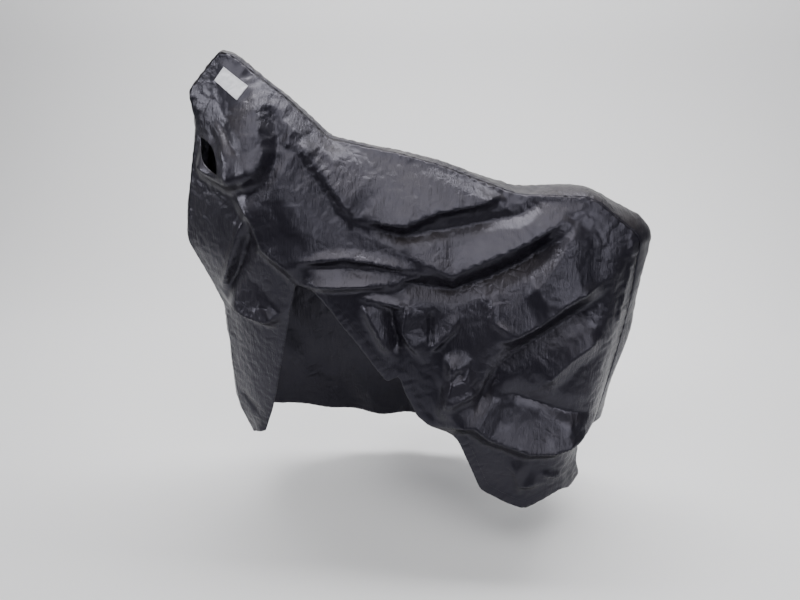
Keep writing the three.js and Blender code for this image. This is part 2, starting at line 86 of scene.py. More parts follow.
# Mesh of a panel: rows as high as in an even triangle, points strewn by a share of the step,
# crests and free points kept clear of what is already there, new points bent by the butterfly's share.
ROW_HEIGHT = 0.866
STREW = 0.16
CREST_GAP = 0.9
FREE_GAP = 0.62
BUTTERFLY = 0.125

# How folds and creases end: least height, reach of the ends as a share of the length, and sharpness.
FOLD_END = {"least": 0.2, "reach": 0.22, "sharp": 1.3}
CREASE_END = {"least": 0.35, "sharp": 1.4}

# Sections round the cover from the front hem over the top to the rear hem.
# x, z: outer line of the strip. half: half its width. crown: how far it stands out of its seams.
# hem_x, hem_y, hem_z: the near hem facing the section.
SECTIONS = [
    # at, x, z, half, crown, hem_x, hem_y, hem_z
    ("front hem", -796, -696, 58, 20, -726, -95, -664),
    ("front shin", -820, -636, 58, 22, -695, -110, -582),
    ("front knee", -827, -580, 58, 22, -674, -125, -510),
    ("front bulge", -833, -470, 60, 24, -644, -140, -390),
    ("front tuck", -828, -317, 60, 20, -608, -160, -253),
    ("front slope", -864, -228, 60, 18, -597, -170, -216),
    ("front low corner", -901, -141, 60, 16, -589, -175, -198),
    ("front middle", -889, -53, 58, 16, -581, -178, -198),
    ("front sag", -869, 47, 54, 16, -571, -182, -200),
    ("front hollow", -846, 136, 48, 16, -561, -185, -203),
    ("head corner", -852, 210, 40, 8, -551, -188, -206),
    ("head slope", -814, 253, 28, 6, -542, -190, -215),
    ("head peak", -770, 298, 18, 4, -531, -192, -228),
    ("head top", -737, 285, 16, 4, -517, -194, -244),
    ("upper neck", -667, 229, 14, 3, -497, -198, -270),
    ("middle neck", -627, 200, 14, 3, -476, -200, -298),
    ("lower neck", -571, 149, 14, 3, -451, -204, -328),
    ("notch", -531, 109, 14, 3, -426, -208, -362),
    ("front of back", -449, 92, 16, 3, -380, -214, -423),
    ("middle of back", -367, 77, 18, 3, -350, -214, -405),
    ("rear of back", -272, 54, 22, 4, -336, -216, -450),
    ("seat nose", -182, 24, 30, 5, -307, -218, -507),
    ("seat dip", -89, -5, 40, 6, -278, -220, -529),
    ("seat front", -37, -3, 46, 8, -237, -222, -541),
    ("seat middle", 14, 2, 54, 12, -207, -224, -570),
    ("seat rear", 62, 3, 60, 14, -172, -226, -650),
    ("seat edge", 98, -7, 62, 16, -147, -226, -712),
    ("rear slope", 150, -39, 62, 22, -83, -226, -748),
    ("rear top", 200, -68, 62, 30, -59, -225, -758),
    ("rear corner", 229, -98, 62, 36, -34, -224, -768),
    ("upper rear", 229, -156, 62, 38, 12, -212, -743),
    ("middle rear", 228, -237, 62, 36, 55, -195, -722),
    ("lower rear", 218, -349, 62, 34, 84, -165, -738),
    ("rear tail", 196, -503, 62, 32, 109, -135, -721),
    ("rear end", 187, -559, 61, 30, 112, -102, -668),
    ("rear hem", 178, -615, 60, 28, 136, -80, -632),
]
SECTION_COLUMNS = ("x", "z", "half", "crown", "hem_x", "hem_y", "hem_z")

# Main folds of the near panel. line: x, z along the crest or the bottom. rise: towards the viewer.
# left, right: how far it spreads to each side of the line as it is travelled.
NEAR_FOLDS = [
    # fold, line, rise, left, right
    ("bulge edge", [(-690, 205), (-674, 165), (-656, 110), (-652, 90), (-659, 63),
      (-706, 22)], 14, 16, 48),
    ("neck groove", [(-655, 190), (-634, 112), (-633, 72), (-650, 32), (-680, 6)], -12, 30, 16),
    ("bulge foot", [(-845, 62), (-800, 40), (-756, 26), (-706, 22)], 30, 84, 30),
    ("lip fold", [(-779, 152), (-745, 105), (-742, 70)], 9, 16, 18),
    ("lip valley", [(-766, 152), (-707, 83)], -8, 20, 18),
    ("chest ridge", [(-732, -1), (-687, -46), (-662, -113), (-603, -157), (-583, -193)], 22, 60, 26),
    ("blade", [(-697, -35), (-720, -81), (-760, -173), (-800, -258)], 15, 20, 16),
    ("blade hollow", [(-690, -75), (-727, -165), (-784, -253)], -16, 30, 22),
    ("patch fold", [(-790, -276), (-718, -293), (-670, -298), (-636, -275)], 40, 92, 28),
    ("shin crease", [(-803, -549), (-735, -610)], -7, 24, 24),
    ("neck brow", [(-700, 215), (-640, 170), (-590, 120), (-545, 75)], 12, 60, 130),
    ("neck ridge", [(-599, 166), (-610, 104), (-588, 104)], 5, 14, 14),
    ("neck valley", [(-581, 131), (-547, 84), (-511, 33)], -10, 14, 14),
    ("panel edge", [(-590, 109), (-527, 34), (-491, -14), (-458, -56)], 28, 116, 24),
    ("sag edge", [(-456, -54), (-346, -66), (-268, -40), (-177, -26), (-107, -8)], 29, 116, 24),
    ("sag valley", [(-440, -72), (-402, -82), (-356, -96), (-325, -92), (-219, -79),
      (-143, -66), (-82, -54), (-32, -25), (14, -24)], -14, 24, 20),
    ("band edge", [(-352, -126), (-314, -139), (-236, -171), (-174, -146), (-120, -125),
      (-62, -97), (32, -47)], 26, 66, 34),
    ("band valley", [(-400, -176), (-314, -200), (-235, -214), (-156, -190), (-78, -154),
      (-18, -114), (36, -70)], -24, 32, 34),
    ("tip ridge", [(54, -53), (30, -92), (5, -128), (-24, -174), (-78, -226)], 20, 90, 44),
    ("upper pleat", [(-576, -139), (-479, -134), (-397, -147), (-308, -164)], 15, 18, 12),
    ("pleat hollow", [(-566, -156), (-486, -157), (-420, -167)], -8, 14, 14),
    ("lower pleat", [(-581, -192), (-507, -193), (-437, -193), (-352, -189), (-308, -175)], 18, 26, 20),
    ("flap edge", [(-440, -219), (-385, -231), (-335, -245)], 13, 16, 12),
    ("tongue", [(-432, -227), (-412, -277), (-369, -350)], 18, 34, 22),
    ("tongue valley", [(-375, -240), (-350, -350)], -18, 20, 24),
    ("pocket", [(-330, -228), (-343, -297), (-300, -355)], 14, 40, 14),
    ("pocket fold", [(-285, -345), (-231, -295), (-217, -254)], 14, 34, 14),
    ("pocket crease", [(-279, -250), (-278, -340)], -12, 12, 14),
    ("side crease", [(-143, -219), (-137, -275), (-98, -288)], 8, 12, 12),
    ("fan ridge", [(115, -185), (21, -231), (-36, -271), (-97, -303), (-140, -326)], 32, 36, 116),
    ("fan valley", [(106, -240), (10, -290), (-60, -335), (-118, -380), (-150, -440)], -16, 40, 34),
    ("second fan ridge", [(118, -308), (45, -358), (4, -398), (-24, -430)], 22, 40, 60),
    ("column edge", [(-232, -338), (-227, -407), (-241, -468), (-257, -510)], 26, 66, 22),
    ("tuck", [(-127, -396), (-147, -441), (-172, -484)], -15, 20, 20),
    ("flap crease", [(-230, -401), (-200, -382)], -9, 12, 12),
    ("lower band", [(-276, -525), (-216, -514), (-172, -510), (-132, -542), (-39, -578),
      (21, -577), (80, -562), (140, -530)], 44, 84, 42),
    ("band top", [(-120, -440), (-80, -448), (-20, -470), (45, -495), (125, -512)], -12, 46, 24),
    ("column foot", [(-250, -462), (-205, -446), (-160, -434)], 18, 110, 24),
    ("tail ridge", [(-75, -620), (-50, -694), (1, -688)], 12, 40, 18),
    ("tail crease", [(0, -660), (54, -677)], 8, 14, 12),
    ("rear pucker", [(171, -84), (181, -154), (167, -232), (156, -314)], 7, 10, 16),
    ("front bump", [(-803, -437), (-799, -528)], 6, 12, 16),
]

# Swelling of the head beside the slit, and the eye-shaped slit, open between two curved lips.
BULGE = {"x": -712, "z": 52, "wide": 64, "up": 112, "down": 38, "rise": 28, "edge": 1.25}
SLIT = {"x0": -819, "z0": 111, "x1": -757, "z1": 43, "outer": 21, "inner": 19, "points": 40}

# The rear end of the near hem is drawn in towards the front, round this place.
PINCH = {"x": 142, "z": -648, "reach": 82, "pull": 28}

# Label sewn to the head, a little clear of the cloth, its stitches set in from the edge.
LABEL = {"x": -740, "z": 227, "long": 68, "tall": 34, "turn": -35, "clear": 1.0, "sewn_in": 2.2,
         "along": 49, "across": 25, "flatten": 12}
# Box in which the label's creases are strewn.
LABEL_BOX = np.array([[-38.0, -22.0], [38.0, 22.0]])

# Far panel: its hem sags evenly, in long waves.
FAR = {"front_x": -736, "front_z": -706, "rear_x": 104, "rear_z": -652, "sag": 104,
       "end_y": 90, "hem_y": 196, "hem_curve": 0.6, "waves": 5, "wave_depth": 12}
FAR_FOLDS = [
    # fold, line, rise, left, right
    ("head pull", [(-760, 230), (-640, 20), (-560, -260)], 18, 60, 40),
    ("neck pull", [(-560, 120), (-470, -120), (-420, -420)], 12, 50, 60),
    ("back pull", [(-330, 60), (-300, -200), (-330, -560)], 14, 50, 36),
    ("seat pull", [(40, -30), (-60, -260), (-130, -600)], 18, 60, 38),
    ("rear pull", [(190, -120), (90, -380), (40, -660)], 12, 46, 60),
    ("sag under the back", [(-500, 20), (-330, -60), (-120, -40), (20, -30)], -12, 40, 50),
    ("front pull", [(-860, -150), (-760, -360), (-730, -600)], 10, 40, 46),
]

# How the near cloth buckles where it is too large for its place: hold is how firmly it keeps to the
# folds above, growth the extra size, frames the time it is given.
DRAPE = {"hold": 0.5, "growth": 0.02, "least_growth": 0.12, "frames": 16, "stiff": 20.0, "bend": 0.3,
         "shear": 0.6, "mass": 0.05, "steps": 5, "damping": 5, "bend_damping": 0.5, "air": 1.0}
SPOT_EDGE = 1.3
FULL_SPOTS = [
    # spot, x, z, wide, tall, share
    ("bulge side", -668, 110, 26, 70, 0.7),
    ("bulge foot", -715, 30, 60, 26, 1.0),
    ("head rim", -820, 190, 40, 30, 0.3),
    ("neck", -560, 90, 50, 60, 0.25),
    ("patch foot", -680, -300, 90, 30, 0.7),
    ("pleats", -440, -170, 150, 50, 0.5),
    ("band", -200, -90, 180, 40, 0.35),
    ("side", -140, -270, 120, 80, 0.8),
    ("pocket", -290, -300, 60, 60, 0.8),
    ("fan foot", -120, -400, 90, 60, 0.5),
    ("lower band", -40, -500, 150, 50, 0.4),
    ("tail", -20, -650, 80, 60, 0.5),
    ("rear seam", 175, -150, 20, 200, 0.9),
]

# Strip: long slanting waves, flat at its seams, the number of points across, and a place inside the
# cover, from which the strip faces away.
STRIP_WAVE = {"length": 260.0, "depth": 4.0, "at_half": 60.0, "slant": 2, "held_at_seam": 6}
STRIP_COLUMNS = 25
INSIDE = np.array([-350.0, 0.0, -300.0])

# Small creases strewn over a cloth: how many, the seed of their places, least and most length, rise
# and reach to each side, the lean that most of them follow, in radians, and how far they stray.
CREASES = {
    "near": {"count": 1500, "seed": 3, "length": (14, 60), "rise": (0.5, 1.7), "reach": (5, 12),
             "lean": math.radians(-40), "stray": 0.9},
    "far": {"count": 900, "seed": 4, "length": (20, 80), "rise": (0.6, 2.0), "reach": (8, 16),
            "lean": 1.7, "stray": 0.7},
    "strip": {"count": 700, "seed": 5, "length": (14, 60), "rise": (0.4, 1.8), "reach": (5, 13),
              "lean": 1.2, "stray": 0.8},
    "label": {"count": 26, "seed": 6, "length": (14, 40), "rise": (0.3, 0.9), "reach": (3, 7),
              "lean": 0.4, "stray": 0.9},
}
NEAR_CREASE_SHARE = 0.35

# Seeds of the points strewn in the meshes and of the puckers.
SEEDS = {"near mesh": 11, "far mesh": 12, "near hem": 21, "near seam": 22, "far hem": 23,
         "far seam": 24, "strip seam": 24}

# Hem: turned in once and stitched, with a dent along the stitches. Puckers: waves across the stitches.
# Stitches: length, pitch along the row and thickness of the thread.
HEM = {"turn": 25.0, "inset": 3.0, "over": 1.5, "step": 3.5, "dent": 0.7, "dent_reach": 4,
       "pucker_over": 8, "pucker_fade": 6}
HEM_PUCKER = {"wave": 19.0, "depth": 0.9, "reach": 34.0}
SEAM_PUCKER = {"wave": 24.0, "depth": 1.3, "reach": 26.0}
PUCKER_CHANGE = {"every": 45, "past": 60, "phase": 5, "least": 0.2, "sharp": 1.2}
STITCH = {"long": 3.4, "pitch": 5.0, "thick": 0.8}
LABEL_STITCH = {"long": 1.9, "pitch": 2.6, "thick": 0.45}
STITCH_SIDES = 6
STITCH_SHOULDERS = (-0.3, 0.3)


def ease(t):
    """A share from 0 to 1 with soft ends."""
    t = np.clip(t, 0.0, 1.0)
    return t * t * (3.0 - 2.0 * t)


def mix(a, b, t):
    """The value a share t of the way from a to b."""
    return a + (b - a) * t


# Cutting lines

def section_table():
    """The columns of SECTIONS, with the directions out of the strip and its seam lines."""
    table = {name: np.array([row[i + 1] for row in SECTIONS], float)
             for i, name in enumerate(SECTION_COLUMNS)}
    x, z = table["x"], table["z"]
    before = np.maximum(np.arange(len(x)) - 1, 0)
    after = np.minimum(np.arange(len(x)) + 1, len(x) - 1)
    along = np.stack([x[after] - x[before], z[after] - z[before]], 1)
    along /= np.linalg.norm(along, axis=1)[:, None]
    table["out_x"] = -along[:, 1]
    table["out_z"] = along[:, 0]
    table["seam_x"] = x - table["crown"] * table["out_x"]
    table["seam_z"] = z - table["crown"] * table["out_z"]
    return table


def soften(values, reach):
    """Rounds the corners of a table's column, with both ends held."""
    weights = np.ones(2 * reach + 1) / (2 * reach + 1)
    for _ in range(2):
        padded = np.concatenate([2 * values[0] - values[reach:0:-1], values,
                                 2 * values[-1] - values[-2:-reach - 2:-1]])
        values = np.convolve(padded, weights, "valid")
    return values


def make_columns(step):
    """Sections close together along the seam: a dictionary of columns."""
    table = section_table()
    count = len(table["x"])
    parts = {name: [] for name in table}
    for i in range(count - 1):
        reach = math.hypot(table["seam_x"][i + 1] - table["seam_x"][i],
                           table["seam_z"][i + 1] - table["seam_z"][i])
        reach = max(reach, math.hypot(table["hem_x"][i + 1] - table["hem_x"][i],
                                      table["hem_z"][i + 1] - table["hem_z"][i]))
        pieces = max(1, round(reach / step))
        share = np.arange(pieces) / pieces
        for name, values in table.items():
            parts[name].append(mix(values[i], values[i + 1], share))
    columns = {name: np.append(np.concatenate(p), table[name][-1]) for name, p in parts.items()}
    reach = max(1, round(CORNER_REACH / step))
    columns = {name: soften(values, reach) for name, values in columns.items()}
    run = np.concatenate([[0], np.cumsum(np.hypot(np.diff(columns["x"]), np.diff(columns["z"])))])
    columns["run"] = run
    columns["share"] = run / run[-1]
    return columns


def near_grid(columns, v):
    """The near panel without folds, from its seam at v 0 to its hem at v 1."""
    swell = 1 - (1 - v) ** NEAR_FULLNESS
    x = mix(columns["seam_x"][:, None], columns["hem_x"][:, None], v)
    z = mix(columns["seam_z"][:, None], columns["hem_z"][:, None], v)
    nearness = 1 - np.hypot(x - PINCH["x"], z - PINCH["z"]) / PINCH["reach"]
    x = x - PINCH["pull"] * ease(nearness) * ease(v * 2)
    y = -mix(columns["half"][:, None], -columns["hem_y"][:, None], swell)
    return np.stack([x, y, z], 2)


def far_grid(columns, v):
    """The far panel without folds, its hem in long waves."""
    share = columns["share"][:, None]
    ends = np.sin(np.pi * share)
    hem_x = mix(FAR["front_x"], FAR["rear_x"], share)
    hem_z = mix(FAR["front_z"], FAR["rear_z"], share) - FAR["sag"] * ends
    x = mix(columns["seam_x"][:, None], hem_x, v)
    z = mix(columns["seam_z"][:, None], hem_z, v)
    swell = 1 - (1 - v) ** FAR_FULLNESS
    wave = FAR["wave_depth"] * v * ends * np.sin(2 * np.pi * FAR["waves"] * share)
    hem_y = mix(FAR["end_y"], FAR["hem_y"], np.clip(ends, 0, 1) ** FAR["hem_curve"])
    y = mix(columns["half"][:, None], hem_y, swell) + wave
    return np.stack([x, y, z], 2)


def resample(line, step):
    """Points evenly apart along a line, about a step from each other."""
    line = np.asarray(line, float)
    lengths = np.hypot(*np.diff(line, axis=0).T)
    run = np.concatenate([[0], np.cumsum(lengths)])
    count = max(1, round(run[-1] / step))
    at = np.linspace(0, run[-1], count + 1)
    return np.stack([np.interp(at, run, line[:, 0]), np.interp(at, run, line[:, 1])], 1)


def edge_of(grid, step):
    """The cutting line of a panel: seam, rear end, hem backwards, front end, all in x and z."""
    flat = grid[:, :, [0, 2]]
    sides = [flat[:, 0], flat[-1, :], flat[::-1, -1], flat[0, ::-1]]
    return np.concatenate([resample(side, step)[:-1] for side in sides])


def seam_of(grid):
    """The seam of a panel in x and z."""
    return grid[:, 0][:, [0, 2]]


def hem_of(grid):
    """The hem of a panel in x and z, by short steps."""
    return resample(grid[:, -1][:, [0, 2]], HEM_STEP)


def inside(points, loop):
    """Even-odd test of many points against a closed line, a batch at a time."""
    a = loop
    b = np.roll(loop, -1, axis=0)
    batch = 4000
    result = np.zeros(len(points), bool)
    for start in range(0, len(points), batch):
        p = points[start:start + batch]
        px, pz = p[:, 0:1], p[:, 1:2]
        crosses = (a[:, 1] > pz) != (b[:, 1] > pz)
        with np.errstate(divide="ignore", invalid="ignore"):
            at = a[:, 0] + (pz - a[:, 1]) * (b[:, 0] - a[:, 0]) / (b[:, 1] - a[:, 1])
        result[start:start + batch] = ((crosses & (px < at)).sum(1) % 2) == 1
    return result


def nearest_on_line(points, line):
    """Distance, side (1 left, -1 right) and share of the length along a line of points."""
    line = np.asarray(line, float)
    lengths = np.hypot(*np.diff(line, axis=0).T)
    whole = lengths.sum()
    best = np.full(len(points), np.inf)
    side = np.zeros(len(points))
    share = np.zeros(len(points))
    run = 0.0
    for i, length in enumerate(lengths):
        d = (line[i + 1] - line[i]) / length
        e = points - line[i]
        s = np.clip(e @ d, 0, length)
        e = e - s[:, None] * d
        gap = np.hypot(e[:, 0], e[:, 1])
        closer = gap < best
        best = np.where(closer, gap, best)
        turned = (d[0] * e[:, 1] - d[1] * e[:, 0]) / np.maximum(gap, NO_GAP)
        side = np.where(closer, turned, side)
        share = np.where(closer, (run + s) / whole, share)
        run += length
    return best, side, share


def fold_rise(points, folds):
    """How far the main folds stand out at each point."""
    rise = np.zeros(len(points))
    reach = FOLD_END["reach"]
    for _, line, height, left, right in folds:
        gap, side, share = nearest_on_line(points, line)
        spread = mix(right, left, (side + 1) / 2)
        ends = ease(share / reach) * ease((1 - share) / reach)
        ends = FOLD_END["least"] + (1 - FOLD_END["least"]) * ends
        rise += height * ends * np.clip(1 - gap / spread, 0, 1) ** FOLD_END["sharp"]
    return rise


def crease_rise(points, creases):
    """How far many short straight creases stand out, each x, z, turn, length, rise and reach."""
    rise = np.zeros(len(points))
    order = np.argsort(points[:, 0])
    px = points[order]
    for x, z, turn, length, height, reach in creases:
        half = length / 2 + reach
        lo, hi = np.searchsorted(px[:, 0], [x - half, x + half])
        p = px[lo:hi]
        near = np.abs(p[:, 1] - z) < half
        p = p[near]
        if not len(p):
            continue
        dx, dz = math.cos(turn), math.sin(turn)
        along = (p[:, 0] - x) * dx + (p[:, 1] - z) * dz
        away = np.abs((p[:, 1] - z) * dx - (p[:, 0] - x) * dz)
        taper = np.clip(1 - (2 * along / length) ** 2, 0, 1)
        spread = reach * (CREASE_END["least"] + (1 - CREASE_END["least"]) * taper)
        bend = np.clip(1 - away / spread, 0, 1) ** CREASE_END["sharp"]
        rise[order[lo:hi][near]] += height * taper * bend
    return rise


# Panels as fine meshes

def lattice(loop, step, seed):
    """Points in rows of even triangles over the box round a loop, each strewn a little."""
    lo, hi = loop.min(0), loop.max(0)
    rows = np.arange(lo[1], hi[1], step * ROW_HEIGHT)
    cols = np.arange(lo[0], hi[0], step)
    x, z = np.meshgrid(cols, rows)
    x = x + (np.arange(len(rows)) % 2)[:, None] * step / 2
    points = np.stack([x.ravel(), z.ravel()], 1)
    strewn = np.random.default_rng(seed).uniform(-STREW, STREW, points.shape) * step
    return points + strewn


def clear_of(points, line, gap):
    """Marks the points farther than gap from a closely spaced line, by a grid of cells."""
    keys = {}
    for q in line:
        keys.setdefault((math.floor(q[0] / gap), math.floor(q[1] / gap)), []).append(q)
    cells = np.floor(points / gap).astype(int)
    keep = np.ones(len(points), bool)
    around = [(a, b) for a in (-1, 0, 1) for b in (-1, 0, 1)]
    near = set((i + a, j + b) for i, j in keys for a, b in around)
    for n, (i, j) in enumerate(map(tuple, cells)):
        if (i, j) not in near:
            continue
        p = points[n]
        for a, b in around:
            for q in keys.get((i + a, j + b), ()):
                if (p[0] - q[0]) ** 2 + (p[1] - q[1]) ** 2 < gap * gap:
                    keep[n] = False
    return keep


def panel_layout(grid, step, crests, holes, seed):
    """Points and triangles in x and z, with the cutting line, the crests and the holes as edges."""
    loop = edge_of(grid, step)
    points = [loop]
    edges = [(i, (i + 1) % len(loop)) for i in range(len(loop))]
    count = len(loop)
    fixed = [loop]
    for hole in holes:
        points.append(hole)
        edges += [(count + i, count + (i + 1) % len(hole)) for i in range(len(hole))]
        count += len(hole)
        fixed.append(hole)
    taken = np.concatenate(fixed)
    for crest in crests:
        line = resample(crest, step)
        good = inside(line, loop) & clear_of(line, taken, step * CREST_GAP)
        for hole in holes:
            good &= ~inside(line, hole)
        runs = []
        for k, ok in enumerate(good):
            if ok and k and good[k - 1]:
                runs[-1].append(line[k])
            elif ok:
                runs.append([line[k]])
        for run in runs:
            points.append(np.array(run))
            edges += [(count + i, count + i + 1) for i in range(len(run) - 1)]
            count += len(run)
            taken = np.concatenate([taken, np.array(run)])
    free = lattice(loop, step, seed)
    free = free[inside(free, loop)]
    for hole in holes:
        free = free[~inside(free, hole)]
    free = free[clear_of(free, taken, step * FREE_GAP)]
    points.append(free)
    flat = np.concatenate(points)
    out = delaunay_2d_cdt([Vector(p) for p in flat], edges, [], 0, NO_LENGTH, False)
    verts = np.array([tuple(p) for p in out[0]])
    faces = np.array([f for f in out[2] if len(f) == 3])
    middle = verts[faces].mean(1)
    keep = inside(middle, loop)
    for hole in holes:
        keep &= ~inside(middle, hole)
    faces = faces[keep]
    used = np.unique(faces)
    remap = np.full(len(verts), -1)
    remap[used] = np.arange(len(used))
    return verts[used], remap[faces]


def depth_on(points, grid_of):
    """Depth of the smooth panel at each point, by rays along Y onto a coarse grid of it."""
    grid = grid_of(make_columns(GUIDE_STEP), GUIDE_ROWS)
    wide = grid.shape[1]
    verts = [Vector(p) for p in grid.reshape(-1, 3)]
    polys = []
    for i in range(grid.shape[0] - 1):
        for j in range(wide - 1):
            a = i * wide + j
            polys.append((a, a + wide, a + wide + 1, a + 1))
    tree = BVHTree.FromPolygons(verts, polys)
    depth = np.zeros(len(points))
    for n, (x, z) in enumerate(points):
        hit = tree.ray_cast(Vector((x, -FAR_OFF / MM, z)), AHEAD)[0]
        if hit is None:
            hit = tree.find_nearest(Vector((x, depth[n - 1], z)))[0]
        depth[n] = hit.y
    return depth


def edge_pairs(faces):
    """The edges of a mesh of triangles as pairs of points, and how many triangles share each."""
    pairs = np.concatenate([faces[:, [0, 1]], faces[:, [1, 2]], faces[:, [2, 0]]])
    pairs = np.sort(pairs, axis=1)
    return np.unique(pairs, axis=0, return_counts=True)


def rim_of(pairs, counts, size):
    """Marks the points on the rim of a mesh."""
    rim = np.zeros(size, bool)
    rim[np.unique(pairs[counts == 1])] = True
    return rim


def settle(values, faces, turns, share=0.5):
    """Evens out a value over the mesh, with the rim held."""
    pairs, counts = edge_pairs(faces)
    rim = rim_of(pairs, counts, len(values))
    degree = np.bincount(pairs.ravel(), minlength=len(values))
    for _ in range(turns):
        total = (np.bincount(pairs[:, 0], values[pairs[:, 1]], len(values))
                 + np.bincount(pairs[:, 1], values[pairs[:, 0]], len(values)))
        mean = total / np.maximum(degree, 1)
        values = np.where(rim, values, mix(values, mean, share))
    return values


def smooth_mesh(name, verts, faces):
    """A new object, shaded smooth, with its place in its mesh."""
    mesh = bpy.data.meshes.new(name)
    mesh.from_pydata(verts, [], faces)
    mesh.update()
    for polygon in mesh.polygons:
        polygon.use_smooth = True
    piece = bpy.data.objects.new(name, mesh)
    bpy.context.scene.collection.objects.link(piece)
    return piece


def apply_modifier(piece, modifier):
    """Applies a modifier with nothing else selected."""
    bpy.ops.object.select_all(action="DESELECT")
    bpy.context.view_layer.objects.active = piece
    piece.select_set(True)
    bpy.ops.object.modifier_apply(modifier=modifier.name)
    piece.select_set(False)


def in_metres(points):
    """Places in the frame from places in the cutter's tables."""
    world = np.asarray(points, float) * MM
    world[:, 2] += REST * MM
    return world


def mesh_piece(name, points, faces, outward, thick=CLOTH):
    """A closed thin sheet from points in millimetres, its faces turned outwards."""
    world = in_metres(points)
    a, b, c = (world[faces[:, k]] for k in range(3))
    if (np.cross(b - a, c - a) * outward).sum() < 0:
        faces = faces[:, ::-1]
    piece = smooth_mesh(name, world.tolist(), faces.tolist())
    shell = piece.modifiers.new("thickness of the cloth", "SOLIDIFY")
    shell.thickness = thick * MM
    shell.offset = -1
    shell.use_even_offset = False
    apply_modifier(piece, shell)
    return piece


def grid_faces(tall, wide):
    """Triangles between the points of a grid."""
    i, j = np.meshgrid(np.arange(tall - 1), np.arange(wide - 1), indexing="ij")
    a = (i * wide + j).ravel()
    upper = np.stack([a, a + wide, a + wide + 1], 1)
    lower = np.stack([a, a + wide + 1, a + 1], 1)
    return np.concatenate([upper, lower])


def slit_line():
    """The closed line of the slit, between its two lips."""
    along = np.array([SLIT["x1"] - SLIT["x0"], SLIT["z1"] - SLIT["z0"]], float)
    side = np.array([-along[1], along[0]]) / np.hypot(*along)
    start = np.array([SLIT["x0"], SLIT["z0"]], float)
    end = np.array([SLIT["x1"], SLIT["z1"]], float)
    middle = (start + end) / 2
    t = np.linspace(0, 1, SLIT["points"])[:, None]

    def lip(toward):
        return (1 - t) ** 2 * start + 2 * t * (1 - t) * toward + t * t * end

    inner = lip(middle + side * 2 * SLIT["inner"])
    outer = lip(middle - side * 2 * SLIT["outer"])
    return np.concatenate([resample(inner, SLIT_STEP)[:-1], resample(outer[::-1], SLIT_STEP)[:-1]])


def random_creases(points, kind):
    """Small creases strewn over the box round some points, mostly along one lean."""
    dice = np.random.default_rng(kind["seed"])
    lo, hi = points.min(0), points.max(0)
    rows = []
    for _ in range(kind["count"]):
        x, z = dice.uniform(lo, hi)
        turn = dice.normal(kind["lean"], kind["stray"])
        length = dice.uniform(*kind["length"])
        rise = dice.uniform(*kind["rise"]) * dice.choice([-1, 1])
        rows.append((x, z, turn, length, rise, dice.uniform(*kind["reach"])))
    return rows


def point_group(piece, name, values):
    """A vertex group with a value for each point, in steps of a hundredth."""
    group = piece.vertex_groups.new(name=name)
    levels = np.round(np.clip(values, 0, 1), 2)
    for level in np.unique(levels):
        group.add(np.nonzero(levels == level)[0].tolist(), float(level), "REPLACE")


def crumple(points, faces, held, full):
    """Lets a cloth that is a little too large for its place buckle there.

    held: how firmly each point stays. full: how much too large the cloth is round it.
    """
    piece = smooth_mesh("draping cloth", (points * MM).tolist(), faces.tolist())
    point_group(piece, "held", held)
    point_group(piece, "full", full)
    cloth = piece.modifiers.new("drape", "CLOTH")
    settings = cloth.settings
    settings.quality = DRAPE["steps"]
    settings.mass = DRAPE["mass"]
    settings.tension_stiffness = DRAPE["stiff"]
    settings.compression_stiffness = DRAPE["stiff"]
    settings.shear_stiffness = DRAPE["stiff"] * DRAPE["shear"]
    settings.bending_stiffness = DRAPE["bend"]
    settings.tension_damping = DRAPE["damping"]
    settings.compression_damping = DRAPE["damping"]
    settings.shear_damping = DRAPE["damping"]
    settings.bending_damping = DRAPE["bend_damping"]
    settings.air_damping = DRAPE["air"]
    settings.effector_weights.gravity = 0.0
    settings.vertex_group_mass = "held"
    settings.pin_stiffness = 1.0
    settings.vertex_group_shrink = "full"
    settings.shrink_min = -DRAPE["growth"] * DRAPE["least_growth"]
    settings.shrink_max = -DRAPE["growth"]
    cloth.collision_settings.use_collision = False
    cloth.point_cache.frame_start = 1
    cloth.point_cache.frame_end = DRAPE["frames"]
    for frame_number in range(1, DRAPE["frames"] + 1):
        bpy.context.scene.frame_set(frame_number)
    apply_modifier(piece, cloth)
    draped = np.array([tuple(v.co) for v in piece.data.vertices]) / MM
    bpy.data.objects.remove(piece)
    bpy.context.scene.frame_set(1)
    return draped


def swelling(points):
    """The rounded swelling of the head, longer above its middle than below."""
    above = points[:, 1] - BULGE["z"]
    tall = np.where(above > 0, BULGE["up"], BULGE["down"])
    ring = np.hypot((points[:, 0] - BULGE["x"]) / BULGE["wide"], above / tall)
    return BULGE["rise"] * ease(BULGE["edge"] - ring)


def fullness(points):
    """How much too large the cloth is at each point, by the table of full spots."""
    full = np.zeros(len(points))
    for _, x, z, wide, tall, share in FULL_SPOTS:
        ring = np.hypot((points[:, 0] - x) / wide, (points[:, 1] - z) / tall)
        full = np.maximum(full, share * ease(SPOT_EDGE - ring))
    return full


def fade_at(points, seam):
    """Share of the folds that stays at each point: none at the seam, of which every third point will do."""
    away, _, _ = nearest_on_line(points, seam[::3])
    return ease(away / FOLD_FADE)


